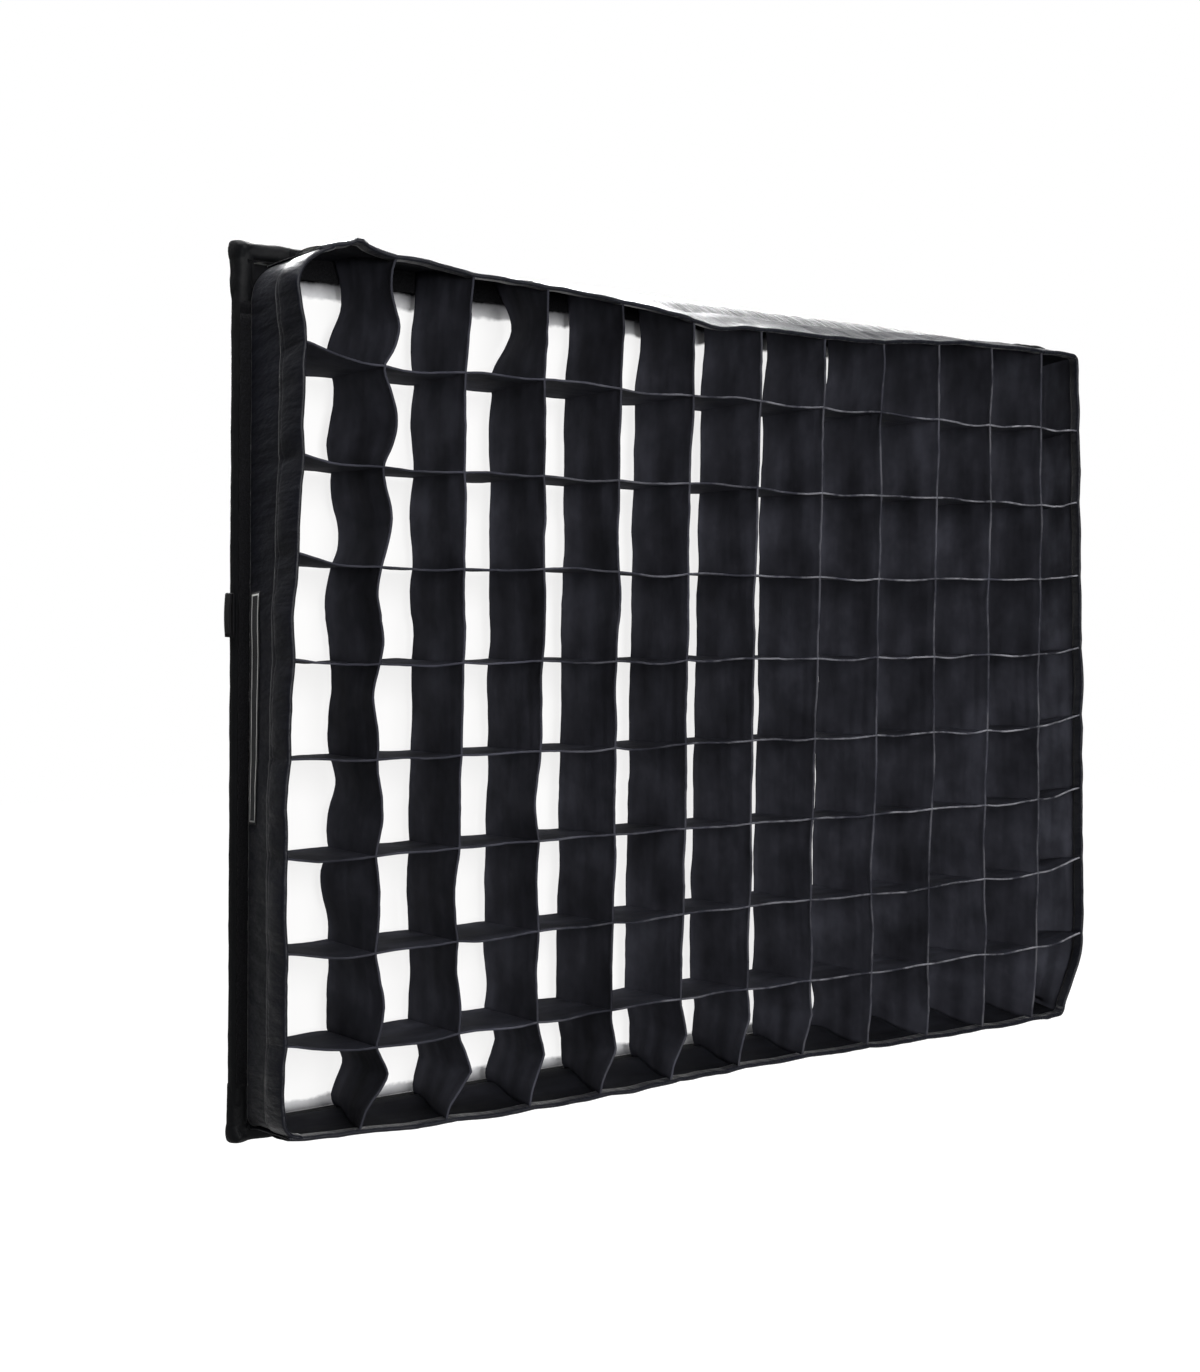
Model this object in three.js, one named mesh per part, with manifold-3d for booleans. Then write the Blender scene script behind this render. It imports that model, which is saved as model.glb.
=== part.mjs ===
// Fabric control grid on the front rim of a rectangular softbox.
//
// Millimetres, +Z up, +X to the right of someone who faces the grid. The light
// leaves along -Y. The origin is the centre of the rim's flat rear plane, where
// the softbox's shell is sewn on.
//
// The rim is four rods in cloth sleeves, joined by elbows in corner pockets, with
// a white diffuser stretched inside. The grid is a box of four cloth walls with
// upright and level cloth dividers, halved into each other at every crossing. It
// holds on to the rim by tape all round, and off the rim it shears flat: every
// upright cloth leans about its top end, and every level cloth stays level.

import * as THREE from 'three';
import { mergeVertices } from 'three/addons/utils/BufferGeometryUtils.js';
import Module from 'manifold-3d';

// Grid
const COLUMNS = 12;
const ROWS = 9;
const CELL = 81.5;
const GRID_DEPTH = 85;
const DIVIDER_CLOTH = 0.5;
const DIVIDER_INSET = 0.5; // from the walls' front and rear edges
const WALL_CLOTH = 1;
const HEM_WIDTH = 38;
const HEM_CLOTH = 0.6;
const FOLD_LIMIT = THREE.MathUtils.degToRad(75);

// Rim
const RIM_ABOVE_GRID = 14; // rods' centre line to the grid's top wall
const RIM_BELOW_GRID = 2; // rods' centre line to the grid's bottom wall
const RIM_DEPTH = 16;
const RIM_HALF_WIDTH = 7;
const ROD_RADIUS = 4;
const ELBOW_RADIUS = 6;
const ELBOW_LEG = 34;
const ROD_END = 10; // from the corner of the rods' centre lines
const POCKET_LEG = 42;
const POCKET_PROUD = 2; // beyond the sleeves' outer edge
const POCKET_EDGE = 3;
const POCKET_CORNER = 9;
const DIFFUSER_CLOTH = 0.6;
const DIFFUSER_BACK = 4.7; // in front of the rear plane
const BINDING_DEPTH = 14;
const BINDING_CLOTH = 1;

// Tapes, label and tab
const TAPE_WIDTH = 10;
const TAPE_THICKNESS = 1;
const LABEL_LENGTH = 196;
const LABEL_WIDTH = 16;
const LABEL_THICKNESS = 0.5;
const LABEL_HEIGHT = -6;
const LABEL_BACK = 5; // in front of the wall's rear edge
const TAB_LENGTH = 37;
const TAB_WIDTH = 12;
const TAB_THICKNESS = 3;
const TAB_HEIGHT = 70;

// Fits
const GAP = 0.3; // between neighbouring pieces
const SLOT_PLAY = 0.1; // left in a slot at the fold's limit
const ROUND_SEGMENTS = 20;

// Worked out from the sizes above
const GRID_WIDTH = COLUMNS * CELL;
const GRID_HEIGHT = ROWS * CELL;
const GRID_CENTRE = (RIM_BELOW_GRID - RIM_ABOVE_GRID) / 2;
const ROD_WIDTH = GRID_WIDTH;
const ROD_HEIGHT = GRID_HEIGHT + RIM_ABOVE_GRID + RIM_BELOW_GRID;
const HOOK_TAPE_BACK = -RIM_DEPTH - GAP;
const LOOP_TAPE_BACK = HOOK_TAPE_BACK - TAPE_THICKNESS - GAP;
const GRID_BACK = LOOP_TAPE_BACK - TAPE_THICKNESS - GAP;
const GRID_FRONT = GRID_BACK - GRID_DEPTH;
const GRID_MIDDLE = (GRID_BACK + GRID_FRONT) / 2;
const DIVIDER_DEPTH = GRID_DEPTH - 2 * DIVIDER_INSET;

// A cloth that leans by the fold's limit still clears what it passes: the cloth
// in its slot, the wall that a divider ends at, and the wall and tape at a corner.
const LEAN_SIN = Math.sin(FOLD_LIMIT);
const LEAN_COS = Math.cos(FOLD_LIMIT);
const SLOT_WIDTH = (DIVIDER_CLOTH * (1 + LEAN_SIN) + 2 * SLOT_PLAY) / LEAN_COS;
const DIVIDER_END_GAP = (WALL_CLOTH / 2 + (DIVIDER_CLOTH / 2) * LEAN_SIN + GAP) / LEAN_COS;
const CORNER_GAP = ((WALL_CLOTH / 2) * (1 + LEAN_SIN) + GAP) / LEAN_COS;
const TAPE_CORNER_GAP = ((TAPE_WIDTH / 2) * (1 + LEAN_SIN) + GAP) / LEAN_COS;

const COLOURS = {
  blackNylon: { color: 0x1c1f26, roughness: 0.72, metalness: 0 },
  blackWebbing: { color: 0x17181c, roughness: 0.85, metalness: 0 },
  blackTape: { color: 0x121316, roughness: 0.95, metalness: 0 },
  blackPlastic: { color: 0x18191b, roughness: 0.5, metalness: 0 },
  whiteCloth: { color: 0xf2f3f5, roughness: 0.9, metalness: 0 },
  labelCloth: { color: 0xdcdfe3, roughness: 0.7, metalness: 0 },
  fibreglass: { color: 0x2a2c2f, roughness: 0.45, metalness: 0 },
};

// The four sides, each made lying along X with +Z outwards and then turned about Y.
// `rimStep` is how far the rods lie outside the grid's wall.
const SIDES = [
  { name: 'top', turn: 0, level: true, rimStep: RIM_ABOVE_GRID },
  { name: 'right', turn: Math.PI / 2, level: false, rimStep: 0 },
  { name: 'bottom', turn: Math.PI, level: true, rimStep: RIM_BELOW_GRID },
  { name: 'left', turn: -Math.PI / 2, level: false, rimStep: 0 },
];

// The four corners, each made with its legs along -X and -Z and then turned about Y.
const CORNERS = [
  { name: 'top_right', turn: 0, x: 1, z: 1 },
  { name: 'bottom_right', turn: Math.PI / 2, x: 1, z: -1 },
  { name: 'bottom_left', turn: Math.PI, x: -1, z: -1 },
  { name: 'top_left', turn: -Math.PI / 2, x: -1, z: 1 },
];

const wasm = await Module();
wasm.setup();

function toSolid(geometry) {
  const bare = geometry.clone();
  bare.deleteAttribute('normal');
  bare.deleteAttribute('uv');
  const merged = mergeVertices(bare, 1e-4);
  return new wasm.Manifold(new wasm.Mesh({
    numProp: 3,
    vertProperties: new Float32Array(merged.attributes.position.array),
    triVerts: new Uint32Array(merged.index.array),
  }));
}

function toGeometry(solid) {
  const mesh = solid.getMesh();
  const geometry = new THREE.BufferGeometry();
  geometry.setAttribute('position', new THREE.BufferAttribute(mesh.vertProperties, 3));
  geometry.setIndex(new THREE.BufferAttribute(mesh.triVerts, 1));
  geometry.computeVertexNormals();
  return geometry;
}

function namedMesh(name, geometry, colour) {
  const mesh = new THREE.Mesh(geometry, new THREE.MeshStandardMaterial(COLOURS[colour]));
  mesh.name = name;
  return mesh;
}

// An outline in X and Y, made `thickness` thick about Z = 0.
function sheetFrom(shape, thickness) {
  const geometry = new THREE.ExtrudeGeometry(shape, {
    depth: thickness,
    bevelEnabled: false,
    curveSegments: ROUND_SEGMENTS / 2,
  });
  geometry.translate(0, 0, -thickness / 2);
  return geometry;
}

// A band along X between two Y places, with Z from `inner` to `outer`.
function band(halfLength, front, back, inner, outer) {
  const geometry = new THREE.BoxGeometry(2 * halfLength, back - front, outer - inner);
  geometry.translate(0, (front + back) / 2, (inner + outer) / 2);
  return geometry;
}

// A divider: a long sheet with a slot at each place, cut to half its depth from
// the front edge or from the rear edge.
function dividerGeometry(length, slotPlaces, slotsFromFront) {
  const front = -DIVIDER_DEPTH / 2;
  const back = DIVIDER_DEPTH / 2;
  const slotted = slotsFromFront ? front : back;
  const plain = slotsFromFront ? back : front;
  const slotEnd = slotsFromFront ? DIVIDER_INSET : -DIVIDER_INSET;
  const shape = new THREE.Shape();
  shape.moveTo(-length / 2, plain);
  shape.lineTo(-length / 2, slotted);
  for (const place of slotPlaces) {
    shape.lineTo(place - SLOT_WIDTH / 2, slotted);
    shape.lineTo(place - SLOT_WIDTH / 2, slotEnd);
    shape.lineTo(place + SLOT_WIDTH / 2, slotEnd);
    shape.lineTo(place + SLOT_WIDTH / 2, slotted);
  }
  shape.lineTo(length / 2, slotted);
  shape.lineTo(length / 2, plain);
  shape.closePath();
  return sheetFrom(shape, DIVIDER_CLOTH);
}

// Centre places of the lines between `count` cells, from low to high.
function dividerPlaces(count) {
  const places = [];
  for (let line = 1; line < count; line += 1) {
    places.push((line - count / 2) * CELL);
  }
  return places;
}

function uprightDividers() {
  const group = new THREE.Group();
  const length = GRID_HEIGHT - 2 * DIVIDER_END_GAP;
  const geometry = dividerGeometry(length, dividerPlaces(ROWS), true);
  dividerPlaces(COLUMNS).forEach((place, index) => {
    const mesh = namedMesh(`upright_divider_${index + 1}`, geometry, 'blackNylon');
    mesh.rotation.y = -Math.PI / 2;
    mesh.position.set(place, GRID_MIDDLE, GRID_CENTRE);
    group.add(mesh);
  });
  return group;
}

function levelDividers() {
  const group = new THREE.Group();
  const length = GRID_WIDTH - 2 * DIVIDER_END_GAP;
  const geometry = dividerGeometry(length, dividerPlaces(COLUMNS), false);
  dividerPlaces(ROWS).reverse().forEach((place, index) => {
    const mesh = namedMesh(`level_divider_${index + 1}`, geometry, 'blackNylon');
    mesh.position.set(0, GRID_MIDDLE, GRID_CENTRE + place);
    group.add(mesh);
  });
  return group;
}

// A grid wall, its front hem and its loop tape, all on one side. The level walls
// run corner to corner, and the upright ones stop short of them. The tape lies
// flat behind the wall's rear edge and is wide enough to reach the rim.
function gridSide(side) {
  const group = new THREE.Group();
  const cornerToCorner = (side.level ? GRID_WIDTH : GRID_HEIGHT) / 2;
  const half = side.level ? cornerToCorner : cornerToCorner - CORNER_GAP;
  const out = (side.level ? GRID_HEIGHT : GRID_WIDTH) / 2;
  const face = out + WALL_CLOTH / 2;
  const hemInner = face + GAP;
  const hemBack = GRID_FRONT + HEM_WIDTH;
  const tapeHalf = cornerToCorner - TAPE_CORNER_GAP;
  const tapeInner = out - TAPE_WIDTH / 2;
  const tapeOuter = out + Math.max(TAPE_WIDTH / 2, side.rimStep + TAPE_WIDTH / 2);
  const tapeFront = LOOP_TAPE_BACK - TAPE_THICKNESS;
  const pieces = [
    ['wall', band(half, GRID_FRONT, GRID_BACK, face - WALL_CLOTH, face), 'blackNylon'],
    ['hem', band(half, GRID_FRONT, hemBack, hemInner, hemInner + HEM_CLOTH), 'blackNylon'],
    ['loop_tape', band(tapeHalf, tapeFront, LOOP_TAPE_BACK, tapeInner, tapeOuter), 'blackTape'],
  ];
  for (const [name, geometry, colour] of pieces) {
    group.add(namedMesh(`${side.name}_${name}`, geometry, colour));
  }
  group.rotation.y = side.turn;
  group.position.z = GRID_CENTRE;
  return group;
}

// Half round on the outside, square on the inside, with a bore for the rod.
function sleeveGeometry(halfLength) {
  const radius = RIM_DEPTH / 2;
  const arcCentre = RIM_HALF_WIDTH - radius;
  const shape = new THREE.Shape();
  shape.moveTo(0, -RIM_HALF_WIDTH);
  shape.lineTo(0, arcCentre);
  shape.absarc(-radius, arcCentre, radius, 0, Math.PI, false);
  shape.lineTo(-RIM_DEPTH, -RIM_HALF_WIDTH);
  shape.closePath();
  const bore = new THREE.Path();
  bore.absarc(-radius, 0, ROD_RADIUS + GAP, 0, 2 * Math.PI, true);
  shape.holes.push(bore);
  const geometry = sheetFrom(shape, 2 * halfLength);
  const turn = new THREE.Matrix4().makeBasis(
    new THREE.Vector3(0, 1, 0),
    new THREE.Vector3(0, 0, 1),
    new THREE.Vector3(1, 0, 0),
  );
  geometry.applyMatrix4(turn);
  return geometry;
}

function rodGeometry(halfLength) {
  const geometry = new THREE.CylinderGeometry(ROD_RADIUS, ROD_RADIUS, 2 * halfLength, ROUND_SEGMENTS);
  geometry.rotateZ(Math.PI / 2);
  geometry.translate(0, -RIM_DEPTH / 2, 0);
  return geometry;
}

// A rod, its sleeve, the hook tape on the sleeve's front and the diffuser's
// binding against the sleeve's inner face, all on one side.
function rimSide(side) {
  const group = new THREE.Group();
  const rodLine = (side.level ? ROD_HEIGHT : ROD_WIDTH) / 2;
  const rodCorner = (side.level ? ROD_WIDTH : ROD_HEIGHT) / 2;
  const rod = namedMesh(`${side.name}_rod`, rodGeometry(rodCorner - ROD_END), 'fibreglass');
  const sleeveHalf = rodCorner - POCKET_LEG - GAP;
  const sleeve = namedMesh(`${side.name}_rim_sleeve`, sleeveGeometry(sleeveHalf), 'blackNylon');
  rod.position.z = rodLine;
  sleeve.position.z = rodLine;

  const tape = band(
    sleeveHalf,
    HOOK_TAPE_BACK - TAPE_THICKNESS,
    HOOK_TAPE_BACK,
    rodLine - TAPE_WIDTH / 2,
    rodLine + TAPE_WIDTH / 2,
  );

  const bindingOuter = rodLine - RIM_HALF_WIDTH - GAP;
  const bindingBack = -(RIM_DEPTH - BINDING_DEPTH) / 2;
  const bindingHalf = rodCorner - RIM_HALF_WIDTH - GAP;
  const cornerTrim = side.level ? 0 : BINDING_CLOTH + GAP;
  const binding = band(
    bindingHalf - cornerTrim,
    bindingBack - BINDING_DEPTH,
    bindingBack,
    bindingOuter - BINDING_CLOTH,
    bindingOuter,
  );

  group.add(rod);
  group.add(sleeve);
  group.add(namedMesh(`${side.name}_hook_tape`, tape, 'blackTape'));
  group.add(namedMesh(`${side.name}_diffuser_binding`, binding, 'blackWebbing'));
  group.rotation.y = side.turn;
  return group;
}

// Two barrels that meet in a ball at the corner, along -X and -Z.
function elbowSolid(radius, leg) {
  const alongX = new THREE.CylinderGeometry(radius, radius, leg, ROUND_SEGMENTS);
  alongX.rotateZ(Math.PI / 2);
  alongX.translate(-leg / 2, 0, 0);
  const alongZ = new THREE.CylinderGeometry(radius, radius, leg, ROUND_SEGMENTS);
  alongZ.rotateX(Math.PI / 2);
  alongZ.translate(0, 0, -leg / 2);
  const ball = new THREE.SphereGeometry(radius, ROUND_SEGMENTS, ROUND_SEGMENTS / 2);
  return toSolid(alongX).add(toSolid(alongZ)).add(toSolid(ball));
}

function elbowGeometry() {
  const boreLength = ELBOW_LEG;
  const bore = new THREE.CylinderGeometry(
    ROD_RADIUS + GAP,
    ROD_RADIUS + GAP,
    boreLength,
    ROUND_SEGMENTS,
  );
  const boreMiddle = -(ROD_END - GAP) - boreLength / 2;
  const boreX = bore.clone().rotateZ(Math.PI / 2).translate(boreMiddle, 0, 0);
  const boreZ = bore.clone().rotateX(Math.PI / 2).translate(0, 0, boreMiddle);
  const solid = elbowSolid(ELBOW_RADIUS, ELBOW_LEG).subtract(toSolid(boreX)).subtract(toSolid(boreZ));
  return toGeometry(solid);
}

// An L with a round outer corner and softened edges, hollow for the elbow.
function pocketGeometry() {
  const outer = RIM_HALF_WIDTH + POCKET_PROUD;
  const inner = -RIM_HALF_WIDTH;
  const arc = outer - POCKET_CORNER;
  const shape = new THREE.Shape();
  shape.moveTo(-POCKET_LEG, inner);
  shape.lineTo(inner, inner);
  shape.lineTo(inner, -POCKET_LEG);
  shape.lineTo(outer, -POCKET_LEG);
  shape.lineTo(outer, arc);
  shape.absarc(arc, arc, POCKET_CORNER, 0, Math.PI / 2, false);
  shape.lineTo(-POCKET_LEG, outer);
  shape.closePath();
  const geometry = new THREE.ExtrudeGeometry(shape, {
    depth: RIM_DEPTH - 2 * POCKET_EDGE,
    bevelEnabled: true,
    bevelThickness: POCKET_EDGE,
    bevelSize: POCKET_EDGE,
    bevelOffset: -POCKET_EDGE,
    bevelSegments: 3,
    curveSegments: ROUND_SEGMENTS / 4,
  });
  geometry.translate(0, 0, -RIM_DEPTH / 2 + POCKET_EDGE);
  geometry.rotateX(Math.PI / 2);
  const cavity = elbowSolid(ELBOW_RADIUS + GAP, POCKET_LEG + GAP);
  return toGeometry(toSolid(geometry).subtract(cavity));
}

function rimCorners() {
  const group = new THREE.Group();
  const elbow = elbowGeometry();
  const pocket = pocketGeometry();
  for (const corner of CORNERS) {
    const holder = new THREE.Group();
    holder.add(namedMesh(`${corner.name}_rod_elbow`, elbow, 'blackPlastic'));
    holder.add(namedMesh(`${corner.name}_corner_pocket`, pocket, 'blackWebbing'));
    holder.position.set(
      (corner.x * ROD_WIDTH) / 2,
      -RIM_DEPTH / 2,
      (corner.z * ROD_HEIGHT) / 2,
    );
    holder.rotation.y = corner.turn;
    group.add(holder);
  }
  return group;
}

function diffuserCloth() {
  const trim = RIM_HALF_WIDTH + GAP + BINDING_CLOTH + GAP;
  const width = ROD_WIDTH - 2 * trim;
  const height = ROD_HEIGHT - 2 * trim;
  const geometry = new THREE.BoxGeometry(width, DIFFUSER_CLOTH, height);
  const mesh = namedMesh('diffuser_cloth', geometry, 'whiteCloth');
  mesh.position.y = -DIFFUSER_BACK - DIFFUSER_CLOTH / 2;
  return mesh;
}

// A round-cornered strip on the left wall's outer face, along its rear edge.
function labelStrip() {
  const halfLength = LABEL_LENGTH / 2;
  const halfWidth = LABEL_WIDTH / 2;
  const corner = LABEL_WIDTH / 4;
  const shape = new THREE.Shape();
  shape.absarc(halfLength - corner, halfWidth - corner, corner, 0, Math.PI / 2, false);
  shape.absarc(-halfLength + corner, halfWidth - corner, corner, Math.PI / 2, Math.PI, false);
  shape.absarc(-halfLength + corner, -halfWidth + corner, corner, Math.PI, 1.5 * Math.PI, false);
  shape.absarc(halfLength - corner, -halfWidth + corner, corner, 1.5 * Math.PI, 2 * Math.PI, false);
  shape.closePath();
  const mesh = namedMesh('plain_label', sheetFrom(shape, LABEL_THICKNESS), 'labelCloth');
  const wallFace = -GRID_WIDTH / 2 - WALL_CLOTH / 2;
  mesh.rotation.y = -Math.PI / 2;
  mesh.position.set(
    wallFace - GAP - LABEL_THICKNESS / 2,
    GRID_BACK - LABEL_BACK - halfWidth,
    LABEL_HEIGHT,
  );
  return mesh;
}

function pullTab() {
  const geometry = new THREE.BoxGeometry(TAB_THICKNESS, TAB_WIDTH, TAB_LENGTH);
  const mesh = namedMesh('side_pull_tab', geometry, 'blackWebbing');
  const rimEdge = -ROD_WIDTH / 2 - RIM_HALF_WIDTH;
  mesh.position.set(rimEdge - GAP - TAB_THICKNESS / 2, -RIM_DEPTH / 2, TAB_HEIGHT);
  return mesh;
}

const group = new THREE.Group();
for (const side of SIDES) {
  group.add(rimSide(side));
}
group.add(rimCorners());
group.add(diffuserCloth());
group.add(pullTab());
for (const side of SIDES) {
  group.add(gridSide(side));
}
group.add(uprightDividers());
group.add(levelDividers());
group.add(labelStrip());

export default group;
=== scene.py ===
"""Looks of a fabric control grid on the front rim of a rectangular softbox.

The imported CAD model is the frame. Every soft piece is built here as cloth around
the places that the frame gives, in metres. +X is right, the light leaves along
-Y, and +Z is up.
"""

import math

import bpy
import numpy as np
from mathutils import Matrix, Vector


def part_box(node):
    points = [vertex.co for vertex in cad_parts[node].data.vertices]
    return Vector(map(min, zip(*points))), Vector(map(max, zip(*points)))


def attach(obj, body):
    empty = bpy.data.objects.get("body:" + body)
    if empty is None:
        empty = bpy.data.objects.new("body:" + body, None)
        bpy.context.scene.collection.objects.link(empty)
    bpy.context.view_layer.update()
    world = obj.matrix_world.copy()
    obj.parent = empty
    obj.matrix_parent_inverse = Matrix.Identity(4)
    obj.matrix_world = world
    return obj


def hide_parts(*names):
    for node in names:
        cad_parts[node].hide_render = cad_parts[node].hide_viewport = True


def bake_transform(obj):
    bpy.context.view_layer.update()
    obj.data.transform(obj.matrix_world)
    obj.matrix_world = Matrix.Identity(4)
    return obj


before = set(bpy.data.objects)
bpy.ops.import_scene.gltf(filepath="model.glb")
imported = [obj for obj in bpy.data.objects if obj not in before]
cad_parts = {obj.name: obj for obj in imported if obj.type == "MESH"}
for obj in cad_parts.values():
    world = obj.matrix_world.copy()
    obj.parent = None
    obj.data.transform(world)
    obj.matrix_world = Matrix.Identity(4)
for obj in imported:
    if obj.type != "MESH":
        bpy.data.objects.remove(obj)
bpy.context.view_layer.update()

# -------------------------------- places from the frame

COLUMNS = 12
ROWS = 9
SIDES = ("top", "right", "bottom", "left")
CORNERS = ("top_right", "bottom_right", "bottom_left", "top_left")


def middle(node, axis):
    low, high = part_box(node)
    return (low[axis] + high[axis]) / 2


LEFT = middle("left_wall", 0)
RIGHT = middle("right_wall", 0)
TOP = middle("top_wall", 2)
BOTTOM = middle("bottom_wall", 2)
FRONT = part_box("top_wall")[0][1]
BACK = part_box("top_wall")[1][1]
DEPTH = BACK - FRONT
CELL = (RIGHT - LEFT) / COLUMNS
HEM_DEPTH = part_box("left_hem")[1][1] - FRONT

# -------------------------------- cloth sizes

DIVIDER_THICK = 0.0006
DIVIDER_EDGE_THICK = 0.0018
TURNED_EDGE = 0.004
WALL_THICK = 0.0009
HEM_THICK = 0.0007
HEM_ROLL = 0.0016  # how far the hem's two layers stand off the wall's middle
HEM_INSIDE = 0.010  # how far the hem reaches on the wall's inner side
HEM_SEAM = 0.0455  # the row of stitches, measured across the hem's cloth
STITCH = 0.0035  # from one stitch to the next
THREAD_HALF = 0.0005
GROOVE_HALF = 0.0022
RIM_CLOTH_THICK = 0.0007
STRIP_THICK = 0.0009
FINE_STEP = 0.005  # spacing of a cloth's points along its length
DIVIDER_POINTS_ACROSS = 20
WALL_POINTS_ACROSS = 24
SET_BACK = 0.0005  # a divider's edges lie this far inside the walls' edges


def smooth(t):
    t = np.clip(t, 0.0, 1.0)
    return t * t * (3 - 2 * t)


def hump(t, centre, width):
    return np.exp(-(((t - centre) / width) ** 2))


class Noise:
    """Smooth noise over two numbers, about -1 to 1, the same on every run."""

    SIZE = 64

    def __init__(self, seed):
        self.grid = np.random.default_rng(seed).uniform(-1, 1, (self.SIZE, self.SIZE))

    def __call__(self, a, b):
        a, b = np.broadcast_arrays(np.asarray(a, float), np.asarray(b, float))
        ia, ib = np.floor(a).astype(int), np.floor(b).astype(int)
        fa, fb = smooth(a - ia), smooth(b - ib)

        def at(p, q):
            return self.grid[p % self.SIZE, q % self.SIZE]

        low = at(ia, ib) * (1 - fa) + at(ia + 1, ib) * fa
        high = at(ia, ib + 1) * (1 - fa) + at(ia + 1, ib + 1) * fa
        return low * (1 - fb) + high * fb

    def layers(self, a, b, count):
        total = sum(self(a * 2**k + 7 * k, b * 2**k + 3 * k) / 2**k for k in range(count))
        return total / (2 - 2.0 ** (1 - count))


# -------------------------------- how the whole grid hangs

MM = 0.001
SETTLE = Noise(3)

# How far the level dividers' front corners are lifted where they meet the left
# and right walls, row by row from the top.
LEFT_LIFTS = np.array([0, 14, 6, 9, 3, 2, 3, 6, 9, 17]) * MM
RIGHT_LIFTS = np.array([0, 2, 5, 8, 8, 12, 10, 12, 7, -4]) * MM


def hang(column, row, depth):
    """How far a point of the grid has moved in X and Z from the straight lattice.

    column and row count cells from the top left, and depth is 0 at the front edge
    and 1 at the tape on the rim, where the cloth is held.
    """
    column, row, depth = np.broadcast_arrays(
        np.asarray(column, float), np.asarray(row, float), np.asarray(depth, float)
    )
    free = 1 - depth**1.3
    from_middle = (ROWS / 2 - row) / (ROWS / 2)

    # The right third leans in at the top and out at the bottom, and the last
    # column's front edge is drawn in.
    lean = -13 * MM * np.clip((column - 7) / 4, 0, None) ** 1.2 * from_middle
    drawn_in = -(15 + 6 * from_middle) * MM * smooth(column - 11)
    foot_in = -34 * MM * smooth(row - 8) * smooth((column - 10.6) / 1.4)
    past = np.clip(row - 1.5, 0, None) / 2.2
    left_bulge = 12.5 * MM * smooth(row / 0.9) * np.exp(-(past**1.5))
    left_bulge = left_bulge * np.exp(-np.clip(column, 0, None) / 0.6)
    top_shift = 14.5 * MM * hump(column, 1.0, 1.15) * np.exp(-np.clip(row, 0, None) / 0.55)
    x_move = free * (lean + drawn_in + foot_in + left_bulge + top_shift)
    x_move = x_move + 5 * MM * depth * np.exp(-np.clip(column, 0, None) / 0.3)
    # Behind, the uprights all lie a little to the left.
    inside = smooth(column) * smooth(COLUMNS - column)
    x_move = x_move - MM * depth * (1.5 + 3.2 * smooth(column / 5)) * inside
    # The seventh lies over its neighbour in the upper rows, and light leaks past the
    # feet of the eighth and tenth.
    lapped = -2.4 * hump(column, 7, 0.5) * (1 - smooth((row - 3.6) / 0.8))
    leaks = 5 * hump(column, 8, 0.4) * hump(row, 8.55, 0.2)
    leaks = leaks + 8 * hump(column, 10, 0.4) * hump(row, 8.3, 0.14)
    x_move = x_move + MM * depth * (lapped + leaks)

    # The top edge sags between its corners, and the bottom edge lifts to the left.
    top_edge = (
        7 * hump(column, 0.5, 0.32)
        + 4 * hump(column, 0.6, 0.07)
        + 7 * hump(column, 1.0, 0.8)
        - 13 * hump(column, 5.6, 1.7)
        - 5 * hump(column, 5.3, 0.35)
        - 10 * hump(column, 7.8, 1.4)
    ) * MM
    bottom_edge = (17 * np.exp(-np.clip(column, 0, None) / 2.2) + 6 * hump(column, 6.4, 2.2)) * MM
    rows = np.clip(row, 0, ROWS)
    left_lift = np.interp(rows, np.arange(ROWS + 1), LEFT_LIFTS)
    right_lift = np.interp(rows, np.arange(ROWS + 1), RIGHT_LIFTS)
    inner = smooth(row) * smooth(ROWS - row)
    z_move = free * (
        top_edge * np.exp(-((np.clip(row, 0, None) / 0.45) ** 1.5))
        + bottom_edge * np.exp(-((np.clip(ROWS - row, 0, None) / 0.55) ** 1.5))
        + inner * left_lift * np.exp(-((np.clip(column, 0, None) / 0.45) ** 1.5))
        + inner * right_lift * np.exp(-((np.clip(COLUMNS - column, 0, None) / 0.6) ** 1.5))
        - 3 * MM * hump(row, 3, 1.6) * inner
    )
    z_move = z_move - 4 * MM * depth * inner
    # The top wall is drawn up to the rim behind, and the bottom wall bulges into the cells.
    drawn_up = smooth(depth * 1.1) * smooth(column / 0.9) * smooth((COLUMNS - column) / 0.7)
    drawn = 13.5 + 6 * smooth((column - 2.5) / 2) * smooth((COLUMNS - column) / 4)
    z_move = z_move + drawn * MM * drawn_up * np.exp(-np.clip(row, 0, None) / 0.2)
    slack = hump(depth, 0.86, 0.3) * smooth(column / 0.8 + 0.3) * smooth((COLUMNS - column) / 1.5)
    z_move = z_move + 9 * MM * slack * np.exp(-np.clip(ROWS - row, 0, None) / 0.15)

    # No two crossings hang quite alike.
    x_move = x_move + 2.2 * MM * free * inner * SETTLE(column * 0.9 + 5, row * 0.9)
    z_move = z_move + 1.8 * MM * free * inner * SETTLE(column * 0.9 + 31, row * 0.9 + 17)
    return x_move, z_move


def on_grid(x, y, z):
    """A point of the straight lattice, moved as the cloth hangs."""
    depth = np.clip((y - FRONT) / DEPTH, 0, 1)
    x_move, z_move = hang((x - LEFT) / CELL, (TOP - z) / CELL, depth)
    return np.stack(np.broadcast_arrays(x + x_move, y, z + z_move), axis=-1)


# -------------------------------- mesh building


def normals_of(points):
    along = np.gradient(points, axis=0)
    across = np.gradient(points, axis=1)
    normal = np.cross(along, across)
    return normal / np.maximum(np.linalg.norm(normal, axis=-1, keepdims=True), 1e-12)


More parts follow.
